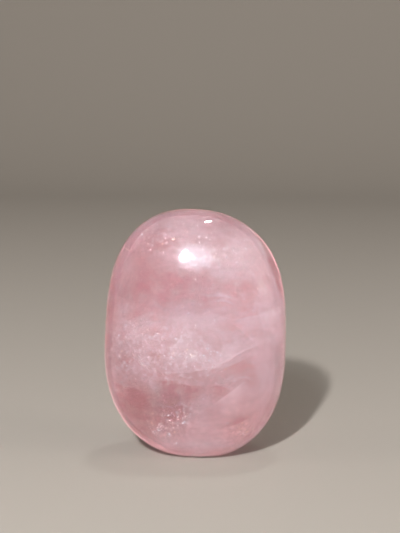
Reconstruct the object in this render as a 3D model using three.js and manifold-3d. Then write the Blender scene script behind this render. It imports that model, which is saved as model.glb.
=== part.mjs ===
// Rose quartz palm stone, standing on the small flat spot at the end of its long axis.
// Millimetres, +Z up. X is its width, Y its thickness, and the face with the most light looks along -Y.
// The origin is on the surface that it stands on, at the middle of its width and thickness.
import * as THREE from "three";
import { mergeVertices } from "three/addons/utils/BufferGeometryUtils.js";
import Module from "manifold-3d";

const wasm = await Module();
wasm.setup();

// Driving dimensions
const WIDTH = 51;
const THICKNESS = 32;
const HEIGHT = 70; // from the flat spot to the crown
const FLAT_DEPTH = 0.7; // how much the flat spot takes off the rounded end

// Shape of the face's outline: an ellipse made a little squarer, then the slow waves that hand shaping left
const OUTLINE_SQUARENESS = 2.25;
const OUTLINE_WAVES = [
  { count: 3, share: 0.0053, phase: THREE.MathUtils.degToRad(-79) },
  { count: 4, share: 0.015, phase: THREE.MathUtils.degToRad(153) },
  { count: 5, share: 0.003, phase: THREE.MathUtils.degToRad(-138) },
];
// Shape of the stone's section from face to face: two domes with a full round rim
const DOME_SQUARENESS = 2.3;

// Fineness of the mesh: steps round the outline, and steps from face to face
const OUTLINE_STEPS = 84;
const DOME_STEPS = 36;

const ROSE = new THREE.Color(0.8, 0.6, 0.62);

// A sine or cosine bent towards a superellipse, with its sign kept.
function squared(value, squareness) {
  return Math.sign(value) * Math.abs(value) ** (2 / squareness);
}

// Distance from the middle of the face to its outline, for a stone 2 wide, at an angle from +X towards +Z.
function outlineRadius(angle) {
  const across = Math.abs(Math.cos(angle)) ** OUTLINE_SQUARENESS;
  const along = Math.abs((Math.sin(angle) * WIDTH) / HEIGHT) ** OUTLINE_SQUARENESS;
  const ellipse = (across + along) ** (-1 / OUTLINE_SQUARENESS);
  const waves = OUTLINE_WAVES.map((w) => w.share * Math.cos(w.count * angle - w.phase));
  return ellipse * waves.reduce((sum, wave) => sum + wave, 1);
}

// The domed section, from one face's middle over the rim to the other's, turned about Y.
function domedDisc() {
  const section = [];
  for (let step = 0; step <= DOME_STEPS; step++) {
    const turn = (Math.PI * step) / DOME_STEPS;
    const onAxis = step === 0 || step === DOME_STEPS;
    const radius = onAxis ? 0 : squared(Math.sin(turn), DOME_SQUARENESS);
    section.push(new THREE.Vector2(radius, -squared(Math.cos(turn), DOME_SQUARENESS)));
  }
  return new THREE.LatheGeometry(section, OUTLINE_STEPS);
}

// Scales the geometry to the given box and puts that box's low corner, with X and Y centred, on z.
function fitToBox(geometry, width, thickness, height, z) {
  geometry.computeBoundingBox();
  const size = geometry.boundingBox.getSize(new THREE.Vector3());
  geometry.scale(width / size.x, thickness / size.y, height / size.z);
  geometry.computeBoundingBox();
  const middle = geometry.boundingBox.getCenter(new THREE.Vector3());
  return geometry.translate(-middle.x, -middle.y, z - geometry.boundingBox.min.z);
}

// The whole rounded pebble, before the flat spot is ground.
function pebble() {
  const geometry = domedDisc();
  const position = geometry.getAttribute("position");
  for (let i = 0; i < position.count; i++) {
    const x = position.getX(i);
    const z = position.getZ(i);
    const reach = outlineRadius(Math.atan2(z, x));
    position.setXYZ(i, x * reach, position.getY(i), z * reach);
  }
  return fitToBox(geometry, WIDTH, THICKNESS, HEIGHT + FLAT_DEPTH, -FLAT_DEPTH);
}

// Everything under the surface that the stone stands on.
function underground() {
  const depth = 10 * FLAT_DEPTH;
  return new THREE.BoxGeometry(2 * WIDTH, 2 * THICKNESS, depth).translate(0, 0, -depth / 2);
}

function toSolid(geometry) {
  const bare = geometry.clone().deleteAttribute("normal").deleteAttribute("uv");
  const merged = mergeVertices(bare);
  return new wasm.Manifold(
    new wasm.Mesh({
      numProp: 3,
      vertProperties: merged.getAttribute("position").array,
      triVerts: new Uint32Array(merged.index.array),
    }),
  );
}

function toGeometry(solid) {
  const mesh = solid.getMesh();
  const geometry = new THREE.BufferGeometry()
    .setAttribute("position", new THREE.BufferAttribute(mesh.vertProperties, mesh.numProp))
    .setIndex(new THREE.BufferAttribute(mesh.triVerts, 1));
  geometry.computeVertexNormals();
  return geometry;
}

function palmStone() {
  const ground = toSolid(pebble()).subtract(toSolid(underground()));
  const polished = new THREE.MeshStandardMaterial({ color: ROSE, roughness: 0.1, metalness: 0 });
  const mesh = new THREE.Mesh(toGeometry(ground), polished);
  mesh.name = "palm_stone";
  return mesh;
}

const stone = new THREE.Group();
stone.add(palmStone());

export default stone;
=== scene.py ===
# Rose quartz palm stone, standing on the small flat spot at one end.
# Metres, +Z up. X is its width, Y its thickness, and the camera sees the face that looks along -Y.
import math
import random

import bmesh
import bpy
from mathutils import Matrix, Vector
from mathutils import noise as slow_noise


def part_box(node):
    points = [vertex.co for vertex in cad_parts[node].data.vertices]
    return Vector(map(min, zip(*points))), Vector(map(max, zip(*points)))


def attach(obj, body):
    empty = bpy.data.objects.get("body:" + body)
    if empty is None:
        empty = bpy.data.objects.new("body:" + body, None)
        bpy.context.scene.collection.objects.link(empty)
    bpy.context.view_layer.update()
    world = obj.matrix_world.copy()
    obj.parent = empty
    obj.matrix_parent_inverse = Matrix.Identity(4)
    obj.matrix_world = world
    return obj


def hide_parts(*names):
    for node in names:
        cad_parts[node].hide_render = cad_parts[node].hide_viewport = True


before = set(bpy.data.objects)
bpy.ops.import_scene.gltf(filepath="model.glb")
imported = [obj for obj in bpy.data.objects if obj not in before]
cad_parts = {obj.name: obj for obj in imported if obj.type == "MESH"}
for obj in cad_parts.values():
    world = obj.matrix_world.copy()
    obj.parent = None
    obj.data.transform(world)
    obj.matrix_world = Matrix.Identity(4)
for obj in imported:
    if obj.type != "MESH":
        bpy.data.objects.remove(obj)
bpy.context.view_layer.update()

MM = 0.001
LOW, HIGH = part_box("palm_stone")
WIDTH, _, HEIGHT = HIGH - LOW
MIDDLE = (LOW + HIGH) / 2

# Shape of the pebble, as the frame's solid has it
FLAT_DEPTH = 0.7 * MM  # how much the flat spot takes off the rounded end
FLAT_EDGE = 0.25 * MM  # how softly the flat spot's edge is polished over
OUTLINE_SQUARENESS = 2.25
OUTLINE_WAVES = ((3, 0.0053, -79), (4, 0.015, 153), (5, 0.003, -138))  # count, share and phase in degrees
DOME_SQUARENESS = 2.3
SURFACE_FINENESS = 7  # icosphere subdivisions, 81920 triangles

# Where the photograph was taken from
PHOTO_SIZE = (400, 533)
CAMERA_AZIMUTH = 5
CAMERA_ELEVATION = 12
CAMERA_DISTANCE = 366 * MM
PIXELS_PER_METRE = 3541  # at the stone's middle
MIDDLE_PIXEL = (195.3, 334.5)  # where the stone's middle is in the photograph
SENSOR = 36  # millimetres, along the frame's long side

# Rose quartz: the crystal's body, its polish and the colours of the clouds just under it, which also carry
# some painted light
QUARTZ_IOR = 1.54
CLARITY = 0.95  # share of the light that goes in; the clouds under the polish show by the rest
ROSE_TINT = (0.93, 0.36, 0.5, 1)
ROSE_DENSITY = 15  # absorption per metre
CLEAR_HAZE = 30  # scattering per metre where the crystal is clear
MILKY_HAZE = 125  # scattering per metre in the thickest cloud
FORWARD_SCATTER = 0.3
GLOW_DEPTH = 3 * MM  # how far light spreads in the clouds under the polish
GLOW_SHARES = (1.0, 0.6, 0.6)  # of that depth, for red, green and blue
POLISH = (0.04, 0.1)  # roughness where the polish is best and where it is worst
POLISH_PATCHES = 3 * MM
INNER_ROUGHNESS = 0.35  # of the same surface, met from inside
WAVE_SIZE = 1.4 * MM
WAVE_HEIGHT = 0.045 * MM
GLAZE = 0.5
GLAZE_ROUGHNESS = 0.04
RIM_GLOW = 0.6
RIM_SOFTNESS = 0.25
RIM_TINT = (1, 0.42, 0.46, 1)
DEEP_ROSE = (0.62, 0.29, 0.31)
SOFT_ROSE = (0.76, 0.59, 0.65)
PALE_ROSE = (1.0, 0.90, 0.97)
PEACH = (1.0, 0.62, 0.58, 1)
LILAC = (0.8, 0.97, 1.0, 1)


def direction(azimuth, elevation):
    """The unit vector from the stone towards a camera or light. Azimuth 0 is along -Y, 90 along +X."""
    turn, rise = math.radians(azimuth), math.radians(elevation)
    return Vector((math.sin(turn) * math.cos(rise), -math.cos(turn) * math.cos(rise), math.sin(rise)))


def face_towards(thing, target):
    thing.rotation_euler = (target - thing.location).to_track_quat("-Z", "Y").to_euler()


def add_to_scene(name, data):
    thing = bpy.data.objects.new(name, data)
    bpy.context.scene.collection.objects.link(thing)
    return thing


def mesh_object(name, bm, smooth=True):
    mesh = bpy.data.meshes.new(name)
    bm.to_mesh(mesh)
    bm.free()
    for polygon in mesh.polygons:
        polygon.use_smooth = smooth
    return add_to_scene(name, mesh)


# Shape of the stone


def squared(value, squareness):
    """A sine or cosine bent towards a superellipse, with its sign kept."""
    return math.copysign(abs(value) ** (2 / squareness), value)


def outline_reach(angle):
    """Distance from the middle of the face to its outline, for a stone 2 wide, from +X towards +Z."""
    across = abs(math.cos(angle)) ** OUTLINE_SQUARENESS
    along = abs(math.sin(angle) * WIDTH / HEIGHT) ** OUTLINE_SQUARENESS
    ellipse = (across + along) ** (-1 / OUTLINE_SQUARENESS)
    waves = (share * math.cos(count * angle - math.radians(phase)) for count, share, phase in OUTLINE_WAVES)
    return ellipse * (1 + sum(waves))


def domed(unit):
    """A point of the unit ball's surface, moved to the pebble 2 wide and 2 thick."""
    angle = math.atan2(unit.z, unit.x)
    reach = outline_reach(angle) * squared(min(math.hypot(unit.x, unit.z), 1), DOME_SQUARENESS)
    return Vector((reach * math.cos(angle), squared(unit.y, DOME_SQUARENESS), reach * math.sin(angle)))


def fit_to_box(bm, low, high):
    """Scales and moves the mesh to the box between two corners. Returns the scale and the shift."""
    corners = [[pick(v.co[i] for v in bm.verts) for i in range(3)] for pick in (min, max)]
    old_low, old_high = map(Vector, corners)
    scale = Vector((high - low)[i] / (old_high - old_low)[i] for i in range(3))
    bmesh.ops.scale(bm, vec=scale, verts=bm.verts)
    shift = low - old_low * scale
    bmesh.ops.translate(bm, vec=shift, verts=bm.verts)
    return scale, shift


def pebble():
    """The polished stone's surface, and the scale and shift that bring the pebble 2 wide to its size."""
    bm = bmesh.new()
    bmesh.ops.create_icosphere(bm, subdivisions=SURFACE_FINENESS, radius=1)
    for vertex in bm.verts:
        vertex.co = domed(vertex.co)
    below = Vector((0, 0, FLAT_DEPTH))
    placing = fit_to_box(bm, LOW - below, HIGH)
    for vertex in bm.verts:
        vertex.co.z = (vertex.co.z + math.hypot(vertex.co.z, FLAT_EDGE)) / 2
    fit_to_box(bm, LOW, HIGH)
    return bm, placing


stone_mesh, (PEBBLE_SCALE, PEBBLE_SHIFT) = pebble()


def depth_share(point):
    """0 at the pebble's middle and 1 on its surface."""
    x, y, z = ((point - PEBBLE_SHIFT)[i] / PEBBLE_SCALE[i] for i in range(3))
    reach = math.hypot(x, z) / outline_reach(math.atan2(z, x))
    return (reach**DOME_SQUARENESS + abs(y) ** DOME_SQUARENESS) ** (1 / DOME_SQUARENESS)


# Material nodes

VEIL_EDGE = 0.4  # millimetres over which a veil begins at its crisp edge
VEIL_CORE = 0.8  # a veil is thickest from here inwards, where 0 is its far edge and 1 its middle


class Finish:
    """A material and short ways to add nodes to it."""

    def __init__(self, name):
        self.material = bpy.data.materials.new(name)
        self.material.use_nodes = True
        self.nodes = self.material.node_tree.nodes
        self.link = self.material.node_tree.links.new
        self.shader = self.nodes["Principled BSDF"]
        self.output = self.nodes["Material Output"]

    def put(self, value, socket):
        """Links an output to the socket, or sets the socket to a plain value."""
        if isinstance(value, bpy.types.NodeSocket):
            self.link(value, socket)
        else:
            socket.default_value = value

    def set(self, node, **inputs):
        """Fills a node's inputs, each named with _ for a space."""
        for key, value in inputs.items():
            self.put(value, node.inputs[key.replace("_", " ")])

    def node(self, kind, settings=None, **inputs):
        """Adds a shader node with those settings and inputs."""
        made = self.nodes.new("ShaderNode" + kind)
        for key, value in (settings or {}).items():
            setattr(made, key, value)
        self.set(made, **inputs)
        return made

    def math(self, operation, *values, clamp=False):
        made = self.node("Math", {"operation": operation, "use_clamp": clamp})
        for socket, value in zip(made.inputs, values):
            self.put(value, socket)
        return made.outputs[0]

    def place(self):
        """Where each point lies in the object, in metres."""
        return self.node("TexCoord").outputs["Object"]

    def noise(self, place, size, detail=4.0, roughness=0.5, output="Fac"):
        """Clouds whose largest lumps are about as wide as size, in metres."""
        made = self.node("TexNoise", Vector=place, Scale=0.5 / size, Detail=detail, Roughness=roughness)
        return made.outputs[output]

    def span(self, value, low, high, to_low=0.0, to_high=1.0, kind="SMOOTHSTEP"):
        """Turns low to high into to_low to to_high, and stays at those beyond."""
        made = self.node("MapRange", {"interpolation_type": kind}, Value=value)
        self.set(made, From_Min=low, From_Max=high, To_Min=to_low, To_Max=to_high)
        return made.outputs["Result"]

    def warped(self, place, size, amount):
        """Coordinates pushed about by clouds of that size, so that smooth shapes turn wispy."""
        clouds = self.noise(place, size, 3, output="Color")
        centred = self.node("VectorMath", {"operation": "SUBTRACT"})
        self.put(clouds, centred.inputs[0])
        self.put((0.5, 0.5, 0.5), centred.inputs[1])
        scaled = self.node("VectorMath", {"operation": "SCALE"}, Scale=amount)
        self.put(centred.outputs[0], scaled.inputs[0])
        moved = self.node("VectorMath", {"operation": "ADD"})
        self.put(place, moved.inputs[0])
        self.put(scaled.outputs[0], moved.inputs[1])
        return moved.outputs[0]

    def fitted(self, place, centre, radii, tilt):
        """Coordinates that are 0 at an ellipsoid's middle and 1 long on its surface.

        The tilt, in degrees, turns it so that its width rises to the right. The rest is in millimetres.
        """
        mapped = self.node(
            "Mapping",
            {"vector_type": "TEXTURE"},
            Vector=place,
            Location=[value * MM for value in centre],
            Rotation=(0, -math.radians(tilt), 0),
            Scale=[value * MM for value in radii],
        )
        return mapped.outputs[0]

    def ball(self, place):
        """1 at the middle of a ball of radius 1, falling evenly to 0 at its surface."""
        return self.node("TexGradient", {"gradient_type": "SPHERICAL"}, Vector=place).outputs["Fac"]

    def zone(self, place, centre, radii):
        """1 in the middle of an ellipsoid, falling evenly to 0 at its edge."""
        return self.ball(self.fitted(place, centre, radii, 0))

    def veil(self, place, centre, radii, tilt):
        """The upper half of a zone: crisp along its middle plane, and fading away above it."""
        inside = self.fitted(place, centre, radii, tilt)
        body = self.ball(inside)
        height = self.node("SeparateXYZ", Vector=inside).outputs["Z"]
        faded = self.span(body, 0, VEIL_CORE)
        return self.math("MULTIPLY", faded, self.span(height, 0, VEIL_EDGE / radii[2]))

    def with_zones(self, total, place, zones, sign=1):
        """The total with each zone added, times its strength, or taken off where the sign is -1."""
        for centre, radii, strength in zones:
            total = self.math("MULTIPLY_ADD", self.zone(place, centre, radii), sign * strength, total)
        return total

    def colours(self, value, *stops):
        """A ramp from (position, colour) stops."""
        made = self.node("ValToRGB", Fac=value)
        ramp = made.color_ramp
        for element, (position, colour) in zip(ramp.elements, (stops[0], stops[-1])):
            element.position = position
            element.color = (*colour, 1)
        for position, colour in stops[1:-1]:
            ramp.elements.new(position).color = (*colour, 1)
        return made.outputs["Color"]

    def blend(self, factor, first, second, kind="MIX"):
        """Mixes two colours. They are the node's sockets 6 and 7, and the mixed one is its output 2."""
        made = self.node("Mix", {"data_type": "RGBA", "blend_type": kind}, Factor=factor)
        self.put(first, made.inputs[6])
        self.put(second, made.inputs[7])
        return made.outputs[2]


# Milky and clear parts of the crystal: centre and radii in millimetres, and strength
MILKY_ZONES = (
    ((2, -5, 37), (27, 17, 17), 0.7),
    ((18, 0, 42), (15, 20, 34), 0.6),
    ((3, -4, 58), (22, 15, 13), 0.5),
    ((2, -5, 5), (22, 14, 10), 0.6),
    ((13, -5, 17), (15, 14, 13), 0.5),
    ((-6, 10, 40), (26, 12, 24), 0.5),
)
CLEAR_ZONES = (
    ((-9, -9, 17), (12, 12, 10), 0.7),
    ((-18, -4, 50), (10, 12, 13), 0.5),
    ((-24, -4, 34), (8, 14, 20), 0.35),
    ((12, 9, 20), (14, 12, 14), 0.5),
    ((2, 2, 28), (16, 10, 24), 0.6),
)
CLOUD_SIZE = 8 * MM
CLOUD_BENDS = (9 * MM, 11 * MM)  # size of the bends that break up the zones, and how far they reach


def cloudiness(finish):
    """How milky the crystal is, from 0 where it is clear to 1 in the thickest cloud."""
    bent = finish.warped(finish.place(), *CLOUD_BENDS)
    total = finish.span(finish.noise(bent, CLOUD_SIZE, 2), 0.3, 0.7, 0, 0.5)
    total = finish.with_zones(total, bent, MILKY_ZONES)
    return finish.with_zones(total, bent, CLEAR_ZONES, -1)


# Parts of the stone where the frost is finely mottled: centre and radii in millimetres, and strength
MOTTLED_ZONES = (
    ((-5, -14, 32), (17, 8, 10), 1.0),
    ((-3, -12, 13), (9, 8, 8), 0.9),
    ((7, -11, 59), (7, 8, 6), 0.6),
    ((-8, -9, 62), (10, 8, 6), 0.6),
    ((14, -9, 9), (9, 8, 6), 0.7),
    ((-19, -6, 33), (6, 12, 16), 0.6),
    ((2, 14, 44), (18, 9, 16), 0.8),
    ((8, 12, 16), (12, 9, 10), 0.8),
)
# Veils that reach the polish, each from a crisp line on it: the line's middle, then half its length, how far
# the veil goes in and how far it fades across the face, all in millimetres, the line's tilt and the strength
# Two of them are painted light by the right rim, marked below.
VEILS_AND_PAINTED_RIM_STRIP = (
    ((1, -14, 28), (12, 14, 11), 7, 0.4),
    ((11, -13, 31), (12, 14, 7), 29, 0.3),
    ((11, -13, 31), (12, 14, 1.2), 29, 0.5),
    ((10, -13, 21), (7, 14, 8), 219, 0.35),
    ((10, -13, 21), (7, 14, 1), 219, 0.4),
    ((14.5, -12, 24.8), (3, 14, 1.2), 0, 0.4),
    ((-17, -10, 22), (9, 14, 11), 170, -0.28),
    ((-6, -13, 25), (4.5, 14, 8), 184, -0.34),
    ((0.8, -14, 24.2), (4, 14, 7), 176, -0.38),
    ((8, -13, 23), (4, 14, 6), 160, -0.3),
    ((12.5, -13, 30), (5.5, 14, 7), 205, -0.34),
    # painted light by the right rim: a dark strip of the dark surroundings seen through the thin rim, and a
    # pale line of light gathered beside it
    ((21, -6, 54), (13, 14, 4.5), 290, -0.45),
    ((21, -6, 54), (14, 14, 1.6), 110, 0.5),
    ((8, -14, 47.5), (7, 12, 1.8), -12, 0.35),
    ((10, -14, 45.8), (6, 12, 1.5), -5, 0.25),
    ((18, -10, 43.5), (9, 14, 6), 188, 0.28),
    ((-14.5, -10, 41.5), (5, 12, 6), 30, -0.4),
    ((13, -9, 12.5), (7, 12, 3), 20, -0.35),
    ((-6, 12, 46), (16, 13, 9), 18, 0.45),
    ((8, 12, 34), (14, 13, 8), 200, 0.4),
    ((-10, 11, 22), (11, 13, 8), 160, -0.5),
    ((12, 11, 52), (9, 13, 7), 60, -0.45),
    ((4, 12, 14), (12, 13, 5), -14, 0.4),
    ((22, 4, 34), (9, 10, 8), 80, 0.4),
    ((-22, 10, 40), (12, 9, 8), 96, 0.4),
)
# Soft patches, pale above zero and of deeper rose below it, some pale ones painted light: centre and radii
# in millimetres, and strength
PATCHES_AND_PAINTED_GLOW = (
    ((2, -8, 67), (17, 12, 8), 0.05),
    ((15, -8, 59), (9, 12, 10), 0.3),
    # pale beside the highlight: partly an inner veil and partly a painted highlight halo
    ((5, -12, 59), (4, 12, 4.5), 0.4),
    # painted glow: the right side brighter where light comes through the stone
    ((21, -8, 38), (8, 12, 13), 0.1),
    ((13, -12, 43), (8, 12, 9), -0.32),
    # painted glow at the lower right and along the bottom, where light comes through the stone
    ((10, -12, 13), (17, 14, 9), 0.12),
    ((1, -11, 6), (14, 13, 7), 0.3),
    ((-16, -9, 52), (8, 12, 8), -0.2),
    ((1, -14, 50), (24, 12, 8), -0.42),
    ((-15, -9, 17), (8, 12, 9), -0.38),
    ((-9.5, -12, 18), (4, 12, 8), 0.15),
    ((-17, -11, 26), (8, 12, 5), -0.3),
    ((-8, -13, 29), (6, 12, 5), -0.25),
    # painted glow along the bottom
    ((-7, -11, 4), (10, 12, 5), 0.4),
    ((-10, -11, 60), (9, 12, 7), -0.15),
    ((-5, -12, 19), (6, 12, 7), -0.55),
    ((-3, -13, 40), (8, 12, 9), 0.2),
    ((-13, -10, 41), (5, 12, 6), -0.15),
    # painted glow along the right rim
    ((22, -8, 22), (6, 12, 12), 0.3),
    ((6, -12, 8), (6, 12, 5), -0.25),
    ((-6, -12, 14), (6, 12, 5), -0.25),
    ((-2, 13, 58), (14, 12, 7), -0.45),
    ((-4, 13, 12), (10, 12, 6), -0.4),
    ((10, 13, 40), (12, 12, 10), 0.3),
)


# The frost's own level, how much of the crystal's clouds it takes on, and the sizes of what is in it
FROST_LEVEL = 0.42
CLOUD_SHARE = 0.2
FROST_BENDS = (7 * MM, 5 * MM)  # size of the bends that break up the zones, and how far they reach
WISP_SIZE = 5 * MM
STREAK_SIZE = 1.6 * MM
STREAK_STRETCH = 4
STREAK_SLOPE = -14
RAG_SIZE = 2.5 * MM
THREAD_SPACING = 1.9 * MM
GRAIN_SIZE = 0.7 * MM


def wisps(finish, place):
    """Soft wisps all over the stone."""
    clouds = finish.noise(finish.warped(place, WISP_SIZE, 6 * MM), WISP_SIZE, 6, 0.62)
    return finish.span(clouds, 0.3, 0.7, -0.15, 0.15)


def streaks(finish, place):
    """Fine streaks, combed across the stone."""
    turn = (0, math.radians(STREAK_SLOPE), 0)
    combed = finish.node("Mapping", Vector=place, Rotation=turn, Scale=(1 / STREAK_STRETCH, 1, 1))
    lines = finish.noise(finish.warped(combed.outputs[0], 4 * MM, 1.5 * MM), STREAK_SIZE, 3, 0.6)
    return finish.span(lines, 0.35, 0.75, -0.06, 0.12)


def with_veils_and_painted_strip(finish, total, place, bent):
    """The total with the veils and the painted strip by the right rim added, thick and thin in ragged
    patches.
    """
    veils = 0.0
    for centre, radii, tilt, strength in VEILS_AND_PAINTED_RIM_STRIP:
        veils = finish.math("MULTIPLY_ADD", finish.veil(bent, centre, radii, tilt), strength, veils)
    ragged = finish.noise(finish.warped(place, RAG_SIZE, 3 * MM), RAG_SIZE, 5, 0.65)
    return finish.math("MULTIPLY_ADD", veils, finish.span(ragged, 0.35, 0.65, 0.55, 1.2), total)


def with_mottling(finish, total, place, bent):
    """The total with a network of fine threads and grains added, strongest in the mottled zones."""
    crazed = finish.warped(place, 2 * MM, 2.5 * MM)
    voronoi = {"feature": "DISTANCE_TO_EDGE"}
    network = finish.node("TexVoronoi", voronoi, Vector=crazed, Scale=1 / THREAD_SPACING)
    threads = finish.span(network.outputs["Distance"], 0.02, 0.22, 1, 0)
    grains = finish.span(finish.noise(place, GRAIN_SIZE, 2, 0.6), 0.45, 0.7)
    mottle = finish.math("MULTIPLY_ADD", finish.math("MULTIPLY", threads, grains), 0.4, -0.06)
    mottle = finish.math("MULTIPLY_ADD", grains, 0.3, mottle)
    patches = finish.with_zones(0.0, bent, MOTTLED_ZONES)
    return finish.math("MULTIPLY_ADD", finish.span(patches, 0, 0.5, 0.2, 1), mottle, total)


def frosted_with_painted_light(finish, cloud):
    """How pale the stone is just under the polish, from 0 to 1, with all its fine detail and the painted
    glow, highlight halo and rim strip among it.
    """
    place = finish.place()
    total = finish.math("MULTIPLY_ADD", cloud, CLOUD_SHARE, FROST_LEVEL)
    total = finish.math("ADD", total, wisps(finish, place))
    total = finish.math("ADD", total, streaks(finish, place))
    bent = finish.warped(place, *FROST_BENDS)
    total = with_veils_and_painted_strip(finish, total, place, bent)
    # soft patches, some of them painted glow and a painted highlight halo
    total = finish.with_zones(total, bent, PATCHES_AND_PAINTED_GLOW)
    total = with_mottling(finish, total, place, bent)
    return finish.math("ADD", total, 0, clamp=True)


# Parts of the stone that lean towards another colour, one of them painted light: centre and radii in
# millimetres, and strength
PEACH_AND_PAINTED_RIM_ZONES = (
    ((14, -8, 12), (17, 14, 15), 0.9),
    ((-12, -9, 10), (18, 14, 14), 0.95),
    ((-14, -10, 58), (13, 12, 11), 0.45),
    ((2, -10, 0), (20, 14, 5), 0.9),
    ((20, -6, 56), (10, 12, 12), 0.3),
    # painted: a deeper rose along the left rim, standing in for the colour light takes on along its long way
    # through the rim
    ((-25, -4, 42), (8, 14, 24), 0.8),
    ((4, 12, 24), (20, 10, 18), 0.5),
)
LILAC_ZONES = (
    ((4, -13, 43), (19, 12, 17), 0.8),
    ((-5, -13, 18), (7, 10, 8), 0.9),
    ((6, 12, 48), (18, 10, 16), 0.6),
)


def leaning(finish, colour, zones, towards):
    """The colour, multiplied by another one in those zones."""
    bent = finish.warped(finish.place(), 6 * MM, 6 * MM)
    return finish.blend(finish.with_zones(0.0, bent, zones), colour, towards, "MULTIPLY")


def polished(finish):
    """The polish: how rough it is and the slight waves that hand polishing left."""
    place = finish.place()
    rough = finish.span(finish.noise(place, POLISH_PATCHES, 3, 0.6), 0.3, 0.7, *POLISH)
    waves = finish.noise(place, WAVE_SIZE, 2, 0.55)
    bump = finish.node("Bump", Strength=1, Distance=WAVE_HEIGHT, Height=waves)
    return rough, bump.outputs[0]


def rose_quartz():
    """See-through quartz with frost and some painted light just under its glaze, and haze and rose
    absorption inside.
    """
    finish = Finish("rose_quartz")
    rough, waves = polished(finish)
    cloud = cloudiness(finish)
    milk_and_painted_light = frosted_with_painted_light(finish, cloud)
    inside = finish.node("NewGeometry").outputs["Backfacing"]
    tint = finish.colours(milk_and_painted_light, (0.0, DEEP_ROSE), (0.5, SOFT_ROSE), (1.0, PALE_ROSE))
    tint = leaning(finish, tint, PEACH_AND_PAINTED_RIM_ZONES, PEACH)
    tint = leaning(finish, tint, LILAC_ZONES, LILAC)
    finish.set(
        finish.shader,
        Base_Color=finish.blend(inside, tint, (1, 1, 1, 1)),
        Transmission_Weight=CLARITY,
        IOR=QUARTZ_IOR,
        Roughness=finish.span(inside, 0, 1, rough, INNER_ROUGHNESS, "LINEAR"),
        Normal=waves,
        Coat_Weight=GLAZE,
        Coat_Roughness=GLAZE_ROUGHNESS,
        Sheen_Weight=RIM_GLOW,
        Sheen_Roughness=RIM_SOFTNESS,
        Sheen_Tint=RIM_TINT,
        Subsurface_Weight=1.0,
        Subsurface_Radius=GLOW_SHARES,
        Subsurface_Scale=GLOW_DEPTH,
    )
    haze = finish.node("VolumeScatter", Color=(1, 1, 1, 1), Anisotropy=FORWARD_SCATTER)
    finish.set(haze, Density=finish.span(cloud, 0, 1, CLEAR_HAZE, MILKY_HAZE, "LINEAR"))
    rose = finish.node("VolumeAbsorption", Color=ROSE_TINT, Density=ROSE_DENSITY)
    both = finish.node("AddShader")
    finish.put(haze.outputs[0], both.inputs[0])
    finish.put(rose.outputs[0], both.inputs[1])
    finish.put(both.outputs[0], finish.output.inputs["Volume"])
    return finish.material


def palm_stone():
    stone = mesh_object("polished_quartz", stone_mesh)
    stone.data.materials.append(rose_quartz())
    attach(stone, "root")
    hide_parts("palm_stone")


# Healed cracks: bowed sheets of tiny bubbles that run through the crystal

SHEET_RINGS = 22
SHEET_SPOKES = 56
SHEET_ROOM = 0.96  # how much of the way to the surface a sheet or a glint may reach
SHEET_THICKNESS = 0.05 * MM
SHEET_COVER = 0.22  # how much a sheet hides where it is thickest
SHEET_RAGGEDNESS = 0.3  # how much its edge wanders, as a share of its radius
SHEET_LOBES = 1.7  # how close together the edge's lobes are
RIPPLE_SIZE = 6 * MM
RIPPLE_HEIGHT = 1.2 * MM
CLOT_SIZE = 5 * MM
BUBBLE_SIZE = 0.5 * MM
THIN_TINT = (0.93, 0.78, 0.82)
THICK_TINT = (0.97, 0.94, 0.96)


def face_point(x, z, depth):
    """A point in millimetres across the seen face, that far under its surface."""
    sought = Vector((x * MM, PEBBLE_SHIFT.y, z * MM))
    flat = depth_share(sought) ** DOME_SQUARENESS
    sought.y -= PEBBLE_SCALE.y * (1 - min(flat, 1)) ** (1 / DOME_SQUARENESS) - depth * MM
    return sought


def kept_inside(point):
    """The point, pulled towards the middle if it is too near the surface or outside."""
    share = depth_share(point)
    return point if share < SHEET_ROOM else PEBBLE_SHIFT + (point - PEBBLE_SHIFT) * (SHEET_ROOM / share)


def disc():
    """A flat round sheet 2 across, in rings and spokes."""
    bm = bmesh.new()
    spoke = [bm.verts.new((ring / SHEET_RINGS, 0, 0)) for ring in range(SHEET_RINGS + 1)]
    edges = [bm.edges.new(pair) for pair in zip(spoke, spoke[1:])]
    bmesh.ops.spin(
        bm,
        geom=spoke + edges,
        cent=(0, 0, 0),
        axis=(0, 0, 1),
        angle=2 * math.pi,
        steps=SHEET_SPOKES,
        use_merge=True,
    )
    bmesh.ops.remove_doubles(bm, verts=bm.verts, dist=1e-6)
    bmesh.ops.recalc_face_normals(bm, faces=bm.faces)
    return bm


def crack_sheet(centre, facing, radii, bow, seed):
    """A disc laid across the stone, bowed and rippled. Each point keeps how far it is from the middle."""
    bm = disc()
    from_middle = bm.verts.layers.float.new("from_middle")
    turn = Vector(facing).normalized().to_track_quat("Z", "Y")
    for vertex in bm.verts:
        flat = vertex.co.copy()
        vertex[from_middle] = flat.length
        lobe = slow_noise.noise(flat.normalized() * SHEET_LOBES + Vector((0, 0, seed)))
        ragged = 1 + SHEET_RAGGEDNESS * lobe
        spread = Vector((flat.x * radii[0], flat.y * radii[1], bow * flat.length_squared)) * MM * ragged
        spread.z += RIPPLE_HEIGHT * slow_noise.noise(spread / RIPPLE_SIZE + Vector((seed, seed, 0)))
        vertex.co = kept_inside(centre + turn @ spread)
    return bm


# Healed cracks: the middle, across the face and how deep, the way one faces, its radii and how far it bows
HEALED_CRACKS = (
    (face_point(-2, 30, 6), (0.15, -0.75, 0.62), (22, 13), 3),
    (face_point(5, 52, 6), (-0.3, -0.9, 0.3), (16, 12), -3),
    (face_point(-5, 13, 5), (0.2, -0.9, -0.35), (12, 9), 3),
    (face_point(-13, 45, 6), (0.45, -0.85, 0.2), (7, 9), -2),
    (face_point(-6, 44, 25), (-0.2, 0.9, 0.3), (18, 15), 3),
    (face_point(7, 22, 25), (0.3, 0.85, -0.3), (15, 13), -3),
)


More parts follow.
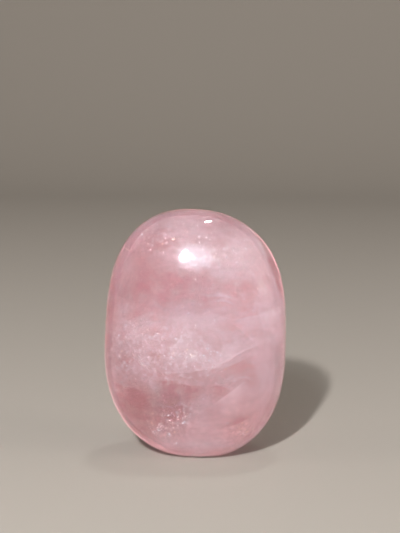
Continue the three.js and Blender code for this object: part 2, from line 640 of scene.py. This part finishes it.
def milky_veil():
    """Clots of tiny bubbles, see-through between them and towards the sheet's edge."""
    finish = Finish("milky_veil")
    place = finish.place()
    clots = finish.noise(finish.warped(place, 4 * MM, 7 * MM), CLOT_SIZE, 5, 0.6)
    bubbles = finish.noise(place, BUBBLE_SIZE, 2, 0.7)
    from_middle = finish.node("Attribute", {"attribute_name": "from_middle"}).outputs["Fac"]
    fade = finish.span(from_middle, 0.55, 1, 1, 0)
    cover = finish.span(clots, 0.42, 0.72)
    cover = finish.math("MULTIPLY", cover, finish.span(bubbles, 0.3, 0.75, 0.25, 1))
    cover = finish.math("MULTIPLY", finish.math("MULTIPLY", cover, fade), SHEET_COVER)
    finish.set(
        finish.shader,
        Base_Color=finish.colours(clots, (0.35, THIN_TINT), (0.7, THICK_TINT)),
        Roughness=finish.span(bubbles, 0.3, 0.7, 0.5, 0.75),
        Alpha=cover,
    )
    return finish.material


def healed_cracks():
    whole = bmesh.new()
    whole.verts.layers.float.new("from_middle")
    for seed, (centre, facing, radii, bow) in enumerate(HEALED_CRACKS):
        sheet = crack_sheet(centre, facing, radii, bow, seed)
        mesh = bpy.data.meshes.new("sheet")
        sheet.to_mesh(mesh)
        sheet.free()
        whole.from_mesh(mesh)
        bpy.data.meshes.remove(mesh)
    cracks = mesh_object("healed_cracks", whole)
    cracks.data.materials.append(milky_veil())
    thickness = cracks.modifiers.new("thickness", "SOLIDIFY")
    thickness.thickness = SHEET_THICKNESS
    thickness.offset = 0
    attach(cracks, "root")


# Glints: tiny flakes that catch the light, and glow with painted light of their own

# Clusters of them: middle across the face, spread, greatest depth, number and size, in millimetres
GLINT_CLUSTERS = (
    ((-1, 31), (10, 4), 1.0, 170, 0.115),
    ((-12, 35), (8, 7), 1.0, 70, 0.105),
    ((-4, 14), (5, 3), 1.0, 110, 0.14),
    ((-8, 10.3), (4.5, 3), 1.0, 80, 0.14),
    ((12, 60), (2.5, 3.5), 0.7, 26, 0.11),
    ((7, 58), (3, 5), 0.7, 60, 0.1),
    ((-7, 62), (9, 4), 2, 40, 0.14),
    ((14.5, 9.5), (5, 3), 2, 35, 0.17),
    ((-19, 30), (3, 12), 2, 50, 0.14),
    ((2, 38), (16, 22), 5, 110, 0.12),
)
# Larger ones at places of their own: the place across the face and the size, in millimetres
SINGLE_GLINTS = (
    (-4.4, 5.4, 0.3),
    (-3.6, 5.9, 0.2),
    (-5.1, 5.0, 0.2),
    (-6.2, 14.6, 0.3),
    (-2.3, 12.3, 0.3),
    (-8.1, 11.2, 0.25),
    (-9.2, 9.5, 0.3),
    (-6.2, 8.6, 0.3),
    (-14.1, 64, 0.25),
    (-7.3, 63.3, 0.2),
    (-20, 30.2, 0.22),
    (-8.8, 37.8, 0.22),
)
SINGLE_COPIES = 3
SINGLE_DEPTH = 0.8
LEAST_DEPTH = 0.3
SIZE_RANGE = (0.5, 1.6)  # of a glint, as shares of its cluster's size
SCATTERED_GLINTS = 400
SCATTERED_SIZE = 0.12
SCATTERED_SHARE = (0.75, 0.95)  # how much of the way to the surface the scattered ones are
GLINT_SIDES = 5
GLINT_FLATNESS = 0.35
# painted sparkle: how strongly the flakes glow, though they are no lamp
PAINTED_GLINT_GLOW = 0.7
FIRE_SIZE = 2 * MM
SEED = 7


def any_way(chance):
    """A unit vector that points anywhere."""
    return Vector([chance.gauss(0, 1) for _ in range(3)]).normalized()


def add_glint(bm, place, size, chance):
    """A flat little cone, turned at random."""
    turn = Matrix.Rotation(chance.uniform(0, math.pi), 4, any_way(chance))
    bmesh.ops.create_cone(
        bm,
        cap_ends=True,
        segments=GLINT_SIDES,
        radius1=size,
        radius2=0,
        depth=size * GLINT_FLATNESS,
        matrix=Matrix.Translation(place) @ turn,
    )


def glint_finish():
    """Flakes that glow with painted light though they are no lamp, most of them bluish white and some
    golden.
    """
    finish = Finish("glint")
    hue = finish.noise(finish.place(), FIRE_SIZE, 1)
    flake_and_glow_colour = finish.colours(hue, (0.42, (0.7, 0.93, 1.0)), (0.58, (0.92, 1.0, 1.0)), (0.7, (1.0, 0.93, 0.62)))
    finish.set(
        finish.shader,
        Base_Color=flake_and_glow_colour,
        Roughness=finish.span(hue, 0.3, 0.7, 0.2, 0.4),
        Emission_Color=flake_and_glow_colour,
        Emission_Strength=PAINTED_GLINT_GLOW,
    )
    return finish.material


def glints():
    chance = random.Random(SEED)
    bm = bmesh.new()
    places = []
    for (x, z), (wide, high), deep, count, size in GLINT_CLUSTERS:
        for _ in range(count):
            at = (chance.gauss(x, wide / 2), chance.gauss(z, high / 2), chance.uniform(LEAST_DEPTH, deep))
            places.append((face_point(*at), size * chance.uniform(*SIZE_RANGE)))
    for x, z, size in SINGLE_GLINTS:
        places += [(face_point(x, z, SINGLE_DEPTH), size)] * SINGLE_COPIES
    for _ in range(SCATTERED_GLINTS):
        way = domed(any_way(chance))
        spot = PEBBLE_SHIFT + way * PEBBLE_SCALE * chance.uniform(*SCATTERED_SHARE)
        places.append((spot, SCATTERED_SIZE * chance.uniform(*SIZE_RANGE)))
    for place, size in places:
        add_glint(bm, kept_inside(place), size * MM, chance)
    flakes = mesh_object("glints", bm, smooth=False)
    flakes.data.materials.append(glint_finish())
    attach(flakes, "root")


# Studio: a pale floor that curves up behind the stone, soft light and the camera

FLOOR_TONE = (0.24, 0.217, 0.19, 1)
FLOOR_ROUGHNESS = 0.8
FLOOR_FRONT = -1600 * MM
FLOOR_BACK = 700 * MM
FLOOR_SIDE = 5000 * MM
COVE_RADIUS = 500 * MM
COVE_STEPS = 16
WALL_HEIGHT = 1600 * MM


def studio_floor():
    bm = bmesh.new()
    front = bm.verts.new((-FLOOR_SIDE, FLOOR_FRONT, 0))
    back = bm.verts.new((-FLOOR_SIDE, FLOOR_BACK, 0))
    bm.edges.new((front, back))
    bent = bmesh.ops.spin(
        bm,
        geom=[back],
        cent=(-FLOOR_SIDE, FLOOR_BACK, COVE_RADIUS),
        axis=(1, 0, 0),
        angle=math.pi / 2,
        steps=COVE_STEPS,
    )
    foot = next(item for item in bent["geom_last"] if isinstance(item, bmesh.types.BMVert))
    bm.edges.new((foot, bm.verts.new(foot.co + Vector((0, 0, WALL_HEIGHT)))))
    swept = bmesh.ops.extrude_edge_only(bm, edges=bm.edges[:])
    moved = [item for item in swept["geom"] if isinstance(item, bmesh.types.BMVert)]
    bmesh.ops.translate(bm, vec=(2 * FLOOR_SIDE, 0, 0), verts=moved)
    bmesh.ops.recalc_face_normals(bm, faces=bm.faces)
    floor = mesh_object("studio_floor", bm)
    paper = Finish("pale_paper")
    paper.set(paper.shader, Base_Color=FLOOR_TONE, Roughness=FLOOR_ROUGHNESS)
    floor.data.materials.append(paper.material)


NEAR_STAND = 900 * MM  # how far from the stone the lights stand
FAR_STAND = 1200 * MM
RIM_FADE = 0.5  # share of a softbox's radius over which it fades out
PALE_WALL = (60, 8)  # azimuth and elevation
WALL_REACH = -0.2  # cosine of the widest angle from the pale wall that it still brightens
ROOM_LIGHT = (0.22, 0.7)  # away from the pale wall and towards it
ROOM_COLOUR = (1.0, 0.9, 0.8, 1)


def softbox(name, azimuth, elevation, distance, width, height, watts, colour=(1, 1, 1), mirrored=True):
    """An area light that fades towards its rim, as a diffuser does, and may be left out of the gloss."""
    lamp = bpy.data.lights.new(name, "AREA")
    lamp.shape = "ELLIPSE"
    lamp.size = width
    lamp.size_y = height
    lamp.energy = watts
    lamp.color = colour
    lamp.use_nodes = True
    nodes, link = lamp.node_tree.nodes, lamp.node_tree.links.new
    centred = nodes.new("ShaderNodeMapping")
    centred.inputs["Location"].default_value = (-1, -1, 0)
    centred.inputs["Scale"].default_value = (2, 2, 0)
    link(nodes.new("ShaderNodeNewGeometry").outputs["Parametric"], centred.inputs["Vector"])
    fade = nodes.new("ShaderNodeTexGradient")
    fade.gradient_type = "SPHERICAL"
    link(centred.outputs[0], fade.inputs["Vector"])
    spread = nodes.new("ShaderNodeMapRange")
    spread.inputs["From Max"].default_value = RIM_FADE
    link(fade.outputs["Fac"], spread.inputs["Value"])
    link(spread.outputs["Result"], nodes["Emission"].inputs["Strength"])
    light = add_to_scene(name, lamp)
    light.location = MIDDLE + direction(azimuth, elevation) * distance
    face_towards(light, MIDDLE)
    light.visible_camera = False
    light.visible_glossy = mirrored


def studio_light():
    softbox("key", -9, 32, NEAR_STAND, 36 * MM, 64 * MM, 22, (0.98, 0.97, 0.97))
    softbox("key_strip", -8, 34, NEAR_STAND, 34 * MM, 190 * MM, 7, (0.9, 0.96, 1))
    softbox("right_fill", 72, 12, NEAR_STAND, 290 * MM, 290 * MM, 6.5, (1, 0.9, 0.86), mirrored=False)
    softbox("left_fill", -78, 14, NEAR_STAND, 290 * MM, 290 * MM, 3, (1, 0.88, 0.84), mirrored=False)
    softbox("window", -2, 34, NEAR_STAND, 360 * MM, 460 * MM, 2.1, (0.72, 0.88, 1))
    softbox("overhead_strip", 142, 80, FAR_STAND, 18 * MM, 190 * MM, 5)


def soft_room():
    """Even light from all round, brighter towards a pale wall low on the right."""
    world = bpy.data.worlds.new("soft_room")
    world.use_nodes = True
    nodes, link = world.node_tree.nodes, world.node_tree.links.new
    towards = nodes.new("ShaderNodeVectorMath")
    towards.operation = "DOT_PRODUCT"
    towards.inputs[1].default_value = direction(*PALE_WALL)
    link(nodes.new("ShaderNodeTexCoord").outputs["Generated"], towards.inputs[0])
    strength = nodes.new("ShaderNodeMapRange")
    strength.interpolation_type = "SMOOTHSTEP"
    strength.inputs["From Min"].default_value = WALL_REACH
    strength.inputs["To Min"].default_value = ROOM_LIGHT[0]
    strength.inputs["To Max"].default_value = ROOM_LIGHT[1]
    link(towards.outputs["Value"], strength.inputs["Value"])
    background = nodes["Background"]
    background.inputs["Color"].default_value = ROOM_COLOUR
    link(strength.outputs["Result"], background.inputs["Strength"])
    bpy.context.scene.world = world


def photo_camera():
    lens = bpy.data.cameras.new("camera")
    lens.sensor_width = SENSOR
    lens.lens = PIXELS_PER_METRE * CAMERA_DISTANCE * SENSOR / max(PHOTO_SIZE)
    camera = add_to_scene("camera", lens)
    back = direction(CAMERA_AZIMUTH, CAMERA_ELEVATION)
    right = Vector((0, 0, 1)).cross(back).normalized()
    up = back.cross(right)
    camera.location = PEBBLE_SHIFT + back * CAMERA_DISTANCE
    across = (PHOTO_SIZE[0] / 2 - MIDDLE_PIXEL[0]) / PIXELS_PER_METRE
    above = (MIDDLE_PIXEL[1] - PHOTO_SIZE[1] / 2) / PIXELS_PER_METRE
    face_towards(camera, PEBBLE_SHIFT + right * across + up * above)
    bpy.context.scene.camera = camera


def light_paths():
    """Lets light wander far enough through the cloudy quartz."""
    scene = bpy.context.scene
    scene.view_settings.view_transform = "Standard"
    cycles = scene.cycles
    cycles.max_bounces = 32
    cycles.volume_bounces = 16
    cycles.transmission_bounces = 24
    cycles.transparent_max_bounces = 32
    cycles.sample_clamp_indirect = 0
    cycles.volume_step_rate = 1.0


photo_camera()
palm_stone()
healed_cracks()
glints()
studio_floor()
studio_light()
soft_room()
light_paths()
